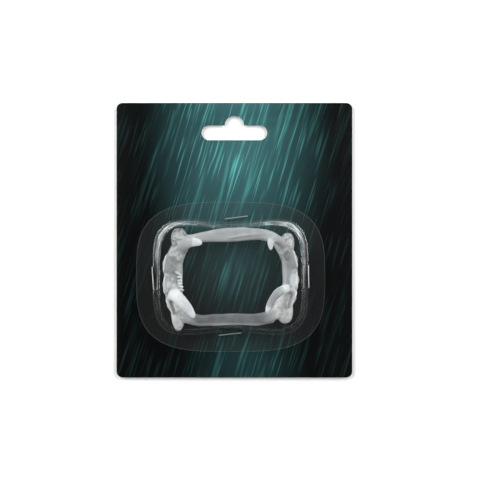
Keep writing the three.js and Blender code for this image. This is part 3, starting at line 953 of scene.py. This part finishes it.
    def build(self, finish: Finish) -> None:
        """Makes and dresses the denture.

        Args:
            finish: Its plastic.
        """
        self.locate()
        piece = Bench.join([self.body(), *self.relief()])
        Bench.finish(piece, "REMESH", mode="VOXEL", voxel_size=self.voxel, adaptivity=0.0)
        Bench.finish(piece, "SMOOTH", factor=0.5, iterations=self.smoothing_rounds)
        texture = bpy.data.textures.new("hand_unevenness", "CLOUDS")
        texture.noise_scale = self.unevenness_size
        push = {"texture": texture, "strength": self.unevenness, "mid_level": 0.5, "texture_coords": "LOCAL"}
        Bench.finish(piece, "DISPLACE", **push)
        self.paint_places(piece)
        Bench.smooth(piece, 60)
        finish.dress(piece)
        Bench.hand_over(piece, Slot.PLASTIC, ["fang_denture"])


@dataclass(frozen=True)
class Outline:
    """A rounded oblong in plan whose long sides are drawn in at their middles."""

    half_x: float
    half_y: float
    power: float
    waist: float = 0.0

    def point(self, angle: float) -> Pair:
        """Finds the outline in one direction from its middle.

        Args:
            angle: The direction in radians, before the sides are drawn in.

        Returns:
            The point's x and y.
        """
        across, up = math.cos(angle), math.sin(angle)
        powers = abs(across / self.half_x) ** self.power + abs(up / self.half_y) ** self.power
        distance = powers ** (-1.0 / self.power)
        x, y = distance * across, distance * up
        drawn_in = self.waist * math.cos(math.pi / 2 * x / self.half_x) ** 2
        return x, y - math.copysign(min(drawn_in, abs(y)), y)

    def smaller(self, by_x: float, by_y: float, scale: float = 1.0) -> "Outline":
        """Returns the outline with its half sizes cut and then scaled."""
        half_x, half_y = (self.half_x - by_x) * scale, (self.half_y - by_y) * scale
        return Outline(half_x, half_y, self.power, self.waist * scale)


@dataclass
class Blister:
    """The clear shell: a flange on the card and a drafted bubble over the denture."""

    film: float = 0.3 * MM
    points: int = 216
    flange_power: float = 3.3
    margin_x: float = 9.2 * MM
    margin_y: float = 7.5 * MM
    cut_edge: float = 0.3 * MM
    bubble_power: float = 4.6
    waist: float = 3.2 * MM
    draft_x: float = 2.3 * MM
    draft_y: float = 2.1 * MM
    wall_steps: int = 6
    foot_round: float = 1.5 * MM
    foot_facets: int = 8
    shoulder_round: float = 0.8 * MM
    shoulder_facets: int = 7
    roof_scales: tuple[float, ...] = (0.92, 0.72, 0.46, 0.2)
    roof_crown: float = 0.05 * MM
    # Haze weight by direction in degrees round the bubble: high on the upper corners and low at the bottom,
    # partly wear and partly painted sheen.
    wear: tuple[Pair, ...] = (
        (-180, 0.15), (-135, 0.2), (-90, 0.05), (-45, 0.2), (0, 0.9), (20, 5.5), (38, 13.0),
        (60, 4.0), (90, 0.6), (120, 2.2), (142, 11.0), (162, 5.0), (180, 0.15),
    )

    def rim(self, outline: Outline, middle: Vector, level: float) -> Piece:
        """Makes the flange's cut edge as a ring of edges.

        Args:
            outline: Its outline.
            middle: The shell's middle.
            level: Its height.

        Returns:
            The ring.
        """
        Bench.clear()
        place = (middle.x, middle.y, level)
        bpy.ops.mesh.primitive_circle_add(
            vertices=self.points, radius=outline.half_y, fill_type="NOTHING", location=place
        )
        piece = Bench.name("blister_shell")
        Bench.settle(piece)
        turn = piece.data.attributes.new("turn", "FLOAT", "POINT")
        edge = piece.data.attributes.new("cut_edge", "FLOAT", "POINT")
        wear = piece.data.attributes.new("wear", "FLOAT", "POINT")
        angles, weights = zip(*self.wear)
        for vertex in piece.data.vertices:
            angle = math.atan2(vertex.co.y - middle.y, vertex.co.x - middle.x)
            x, y = outline.point(angle)
            vertex.co = (middle.x + x, middle.y + y, level)
            turn.data[vertex.index].value = angle
            edge.data[vertex.index].value = 1.0
            # Stores each direction's haze weight, partly wear and partly painted sheen.
            wear.data[vertex.index].value = float(np.interp(math.degrees(angle), angles, weights))
        return piece

    @staticmethod
    def ring(piece: Piece, outline: Outline, middle: Vector, level: float) -> None:
        """Extrudes the selected ring of edges and lays the new ring on an outline.

        Args:
            piece: The shell, open in edit mode.
            outline: The outline.
            middle: The shell's middle.
            level: Its height.
        """
        bpy.ops.mesh.extrude_region_move()
        mesh = bmesh.from_edit_mesh(piece.data)
        turn = mesh.verts.layers.float["turn"]
        edge = mesh.verts.layers.float["cut_edge"]
        for vertex in (vertex for vertex in mesh.verts if vertex.select):
            x, y = outline.point(vertex[turn])
            vertex.co = (middle.x + x, middle.y + y, level)
            vertex[edge] = 0.0
        bmesh.update_edit_mesh(piece.data)

    @staticmethod
    def round_ring(piece: Piece, level: float, radius: float, segments: int) -> None:
        """Rounds the ring of edges where the wall meets the flange or the roof.

        Args:
            piece: The shell, open in edit mode.
            level: The ring's height.
            radius: Size of the rounding.
            segments: Its facets.
        """

        def on_ring(edge: bmesh.types.BMEdge) -> bool:
            """Says whether an edge lies in the ring."""
            level_edge = all(abs(vertex.co.z - level) < 0.01 * MM for vertex in edge.verts)
            slopes = [abs(face.normal.z) for face in edge.link_faces]
            return level_edge and len(slopes) == 2 and min(slopes) < 0.5 < max(slopes)

        bpy.ops.mesh.select_mode(type="EDGE")
        Bench.pick(piece, on_ring)
        bpy.ops.mesh.bevel(offset=radius, segments=segments, profile=0.5, affect="EDGES", clamp_overlap=True)

    def build(self, outside: Finish, inside: Finish) -> None:
        """Makes and dresses the shell.

        Args:
            outside: The film's outer side.
            inside: Its inner side.
        """
        low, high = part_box("blister")
        middle, half = (low + high) / 2, (high - low) / 2
        level = low.z + self.film
        roof_level = high.z - len(self.roof_scales) * self.roof_crown
        edge = Outline(half.x, half.y, self.flange_power)
        foot = Outline(half.x - self.margin_x, half.y - self.margin_y, self.bubble_power, self.waist)
        piece = self.rim(edge, middle, level)
        Bench.edit(piece, "EDGE")
        self.ring(piece, edge.smaller(self.cut_edge, self.cut_edge), middle, level)
        for step in range(self.wall_steps + 1):
            share = step / self.wall_steps
            outline = foot.smaller(self.draft_x * share, self.draft_y * share)
            self.ring(piece, outline, middle, level + (roof_level - level) * share)
        for number, scale in enumerate(self.roof_scales, 1):
            outline = foot.smaller(self.draft_x, self.draft_y, scale)
            self.ring(piece, outline, middle, roof_level + number * self.roof_crown)
        bpy.ops.mesh.edge_face_add()
        bpy.ops.mesh.poke()
        self.round_ring(piece, level, self.foot_round, self.foot_facets)
        self.round_ring(piece, roof_level, self.shoulder_round, self.shoulder_facets)
        Bench.close()
        piece.data.attributes.remove(piece.data.attributes["turn"])
        outside.dress(piece)
        piece.data.materials.append(inside.material())
        Bench.finish(piece, "SOLIDIFY", thickness=self.film, offset=-1.0, material_offset=1)
        Bench.smooth(piece, 50)
        Bench.hand_over(piece, Slot.FILM, ["blister"])


@dataclass
class BackingCard:
    """The plain hanging card: board with rounded corners and the hanger slot."""

    corner: float = 3.0 * MM
    slot_width: float = 32.0 * MM
    slot_bar: float = 7.2 * MM
    slot_dome: float = 9.3 * MM
    slot_edge: float = 14.6 * MM
    edge_round: float = 0.09 * MM
    corner_facets: int = 10
    slot_facets: int = 48
    cutter_height: float = 10 * MM

    def blank(self, low: Vector, high: Vector) -> Piece:
        """Makes the board with its rounded corners.

        Args:
            low: The card's lowest corner.
            high: Its highest corner.

        Returns:
            The board.
        """
        half = (high - low) / 2
        middle = (low + high) / 2
        Bench.clear()
        bpy.ops.mesh.primitive_plane_add(size=2.0, location=(middle.x, middle.y, low.z))
        piece = Bench.name("printed_card")
        piece.scale = (half.x, half.y, 1.0)
        Bench.settle(piece)
        Bench.edit(piece, "VERT")
        corners = {"offset": self.corner, "segments": self.corner_facets, "affect": "VERTICES"}
        bpy.ops.mesh.bevel(**corners, profile=0.5, offset_type="OFFSET")
        bpy.ops.mesh.select_mode(type="FACE")
        bpy.ops.mesh.select_all(action="SELECT")
        up = (0.0, 0.0, high.z - low.z)
        bpy.ops.mesh.extrude_region_move(TRANSFORM_OT_translate={"value": up})
        Bench.close()
        return piece

    @staticmethod
    def cut(piece: Piece, cutter: Piece) -> None:
        """Cuts a solid out of the card and deletes it."""
        Bench.finish(piece, "BOOLEAN", operation="DIFFERENCE", solver="EXACT", object=cutter)
        bpy.data.objects.remove(cutter)

    def punch(self, piece: Piece, slot_y: float, level: float) -> None:
        """Punches the hanger slot, a bar with round ends and a dome on its middle.

        Args:
            piece: The card.
            slot_y: The bar's middle line in Y.
            level: The card's middle height.
        """
        end = self.slot_bar / 2
        reach = self.slot_width / 2 - end
        Bench.clear()
        bpy.ops.mesh.primitive_cube_add(size=1.0, location=(0.0, slot_y, level))
        bar = Bench.name("bar_cutter")
        bar.scale = (2 * reach, self.slot_bar, self.cutter_height)
        Bench.settle(bar)
        self.cut(piece, bar)
        rounds = ((-reach, slot_y, end), (reach, slot_y, end), (0.0, slot_y + end, self.slot_dome / 2))
        for x, y, radius in rounds:
            Bench.clear()
            size = {"vertices": self.slot_facets, "radius": radius, "depth": self.cutter_height}
            bpy.ops.mesh.primitive_cylinder_add(**size, location=(x, y, level))
            self.cut(piece, Bench.name("round_cutter"))

    def build(self, finish: Finish) -> None:
        """Makes and dresses the card.

        Args:
            finish: Its board.
        """
        low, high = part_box("backing_card")
        piece = self.blank(low, high)
        self.punch(piece, high.y - self.slot_edge, (low.z + high.z) / 2)
        edges = {"width": self.edge_round, "segments": 2, "limit_method": "ANGLE", "angle_limit": 1.0}
        Bench.finish(piece, "BEVEL", **edges)
        Bench.smooth(piece, 40)
        finish.dress(piece)
        Bench.hand_over(piece, Slot.BOARD, ["backing_card"])


@dataclass
class Staples:
    """The four wire staples, modelled once and copied to their places."""

    wire: float = 0.6 * MM
    crown: float = 12.5 * MM
    clinch: float = 4.4 * MM
    bend: float = 0.7 * MM
    wire_facets: int = 14
    bend_facets: int = 7
    turns: tuple[tuple[str, float], ...] = (
        ("staple_top", 7.5),
        ("staple_bottom", 6.0),
        ("staple_left", 94.0),
        ("staple_right", 91.0),
    )

    def pattern(self) -> Piece:
        """Makes one staple about the origin, lowest at zero."""
        low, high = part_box("staple_top")
        foot = self.wire / 2
        top = high.z - low.z - self.wire / 2
        half = self.crown / 2
        Bench.clear()
        bpy.ops.mesh.primitive_circle_add(
            vertices=self.wire_facets,
            radius=self.wire / 2,
            fill_type="NOTHING",
            location=(-half + self.clinch, 0.0, foot),
            rotation=(0.0, math.pi / 2, 0.0),
        )
        piece = Bench.name("staple_pattern")
        Bench.settle(piece)
        Bench.edit(piece, "EDGE")
        tail = self.clinch - self.bend
        leg = top - foot - 2 * self.bend
        bridge = self.crown - 2 * self.bend
        left, right = -half + self.bend, half - self.bend
        moves = (
            ((-tail, 0, 0), (left, 0, foot + self.bend)),
            ((0, 0, leg), (left, 0, top - self.bend)),
            ((bridge, 0, 0), (right, 0, top - self.bend)),
            ((0, 0, -leg), (right, 0, foot + self.bend)),
        )
        for step, pivot in moves:
            bpy.ops.mesh.extrude_region_move(TRANSFORM_OT_translate={"value": step})
            quarter = {"steps": self.bend_facets, "angle": math.pi / 2}
            bpy.ops.mesh.spin(**quarter, center=pivot, axis=(0.0, 1.0, 0.0))
        bpy.ops.mesh.extrude_region_move(TRANSFORM_OT_translate={"value": (-tail, 0, 0)})
        bpy.ops.mesh.select_all(action="SELECT")
        bpy.ops.mesh.remove_doubles(threshold=0.001 * MM)
        bpy.ops.mesh.fill_holes(sides=0)
        Bench.close()
        return piece

    def build(self, finish: Finish) -> None:
        """Makes and dresses the staples.

        Args:
            finish: Their wire.
        """
        pattern = self.pattern()
        for node, turn in self.turns:
            low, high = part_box(node)
            piece = Bench.link(node + "_wire", pattern.data.copy())
            spot = Matrix.Translation(((low.x + high.x) / 2, (low.y + high.y) / 2, low.z))
            piece.data.transform(spot @ Matrix.Rotation(math.radians(turn), 4, "Z"))
            Bench.smooth(piece, 60)
            finish.dress(piece)
            Bench.hand_over(piece, Slot.WIRE, [node])
        bpy.data.objects.remove(pattern)


@dataclass(frozen=True)
class Lamp:
    """A soft lamp: side is -1 on the left and 1 on the right, near_edge in metres of Y, power in watts."""

    name: str
    side: float
    near_edge: float
    power: float


@dataclass
class Studio:
    """Camera, floor and soft light."""

    image: int = 480
    pixels_per_mm: float = 2.05
    card_pixel: Pair = (234.4, 240.2)
    distance: float = 1.2
    sensor: float = 36.0
    lamp_size: Pair = (1.9, 0.7)
    lamp_reach: float = 1.0
    lamp_height: float = 0.85
    lamps: tuple[Lamp, ...] = (Lamp("lamp_left", -1.0, -0.06, 25.8), Lamp("lamp_right", 1.0, -0.02, 24.5))
    floor_size: float = 6.0
    sky_greys: tuple[Pair, ...] = ((0.0, 0.32), (0.5, 0.42), (0.85, 0.3), (0.97, 0.08))

    def camera(self) -> None:
        """Looks straight down on the card, framed as in the photograph."""
        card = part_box("backing_card")[1].z
        metres = 1.0 / (self.pixels_per_mm * 1000.0)
        data = bpy.data.cameras.new("studio_camera")
        data.sensor_width = self.sensor
        data.lens = self.sensor * (self.distance - card) / (self.image * metres)
        data.clip_start, data.clip_end = 0.01, 20.0
        eye = Bench.link("studio_camera", data)
        middle = self.image / 2
        shift_x = (middle - self.card_pixel[0]) * metres
        shift_y = (self.card_pixel[1] - middle) * metres
        eye.location = (shift_x, shift_y, self.distance)
        bpy.context.scene.camera = eye

    def floor(self, finish: Finish) -> None:
        """Lays the floor."""
        Bench.clear()
        bpy.ops.mesh.primitive_plane_add(size=self.floor_size, location=(0.0, 0.0, 0.0))
        plane = Bench.name("studio_floor")
        finish.dress(plane)

    def hang(self, lamp: Lamp) -> None:
        """Hangs a lamp beside the pack, reaching from its nearer edge towards the card's hanging edge."""
        data = bpy.data.lights.new(lamp.name, "AREA")
        data.shape = "RECTANGLE"
        data.size, data.size_y = self.lamp_size
        data.energy = lamp.power
        hung = Bench.link(lamp.name, data)
        aside = lamp.side * self.lamp_reach
        hung.location = (aside, lamp.near_edge + self.lamp_size[0] / 2, self.lamp_height)
        hung.rotation_euler = Vector((-aside, 0.0, -self.lamp_height)).to_track_quat("-Z", "Y").to_euler()

    def sky(self) -> None:
        """Gives a surround that is dark overhead and pale towards the horizon."""
        world = bpy.data.worlds.new("studio_surround")
        world.use_nodes = True
        bpy.context.scene.world = world
        graph = Graph(world.node_tree)
        direction = graph.out("ShaderNodeTexCoord", "Generated")
        height = graph.out("ShaderNodeSeparateXYZ", "Z", None, {0: direction})
        grey = graph.ramp(height, *self.sky_greys)
        light = graph.node("ShaderNodeBackground", None, {"Color": grey, "Strength": 1.0})
        graph.node("ShaderNodeOutputWorld", None, {"Surface": light.outputs[0]})

    def build(self) -> None:
        """Sets up the whole studio."""
        bpy.context.scene.view_settings.view_transform = "Standard"
        self.camera()
        self.floor(PaleFloor())
        for lamp in self.lamps:
            self.hang(lamp)
        self.sky()


def main() -> None:
    """Builds the pack in its studio."""
    logging.basicConfig(level=logging.INFO, format="%(name)s: %(message)s")
    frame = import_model()
    LOG.info("frame with %d nodes", len(frame["nodes"]))
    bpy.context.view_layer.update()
    Studio().build()
    BackingCard().build(PrintedBoard())
    FangDenture().build(SoftPlastic())
    Blister().build(ClearFilm(), FilmInside())
    Staples().build(SteelWire())


if __name__ == "__main__":
    main()
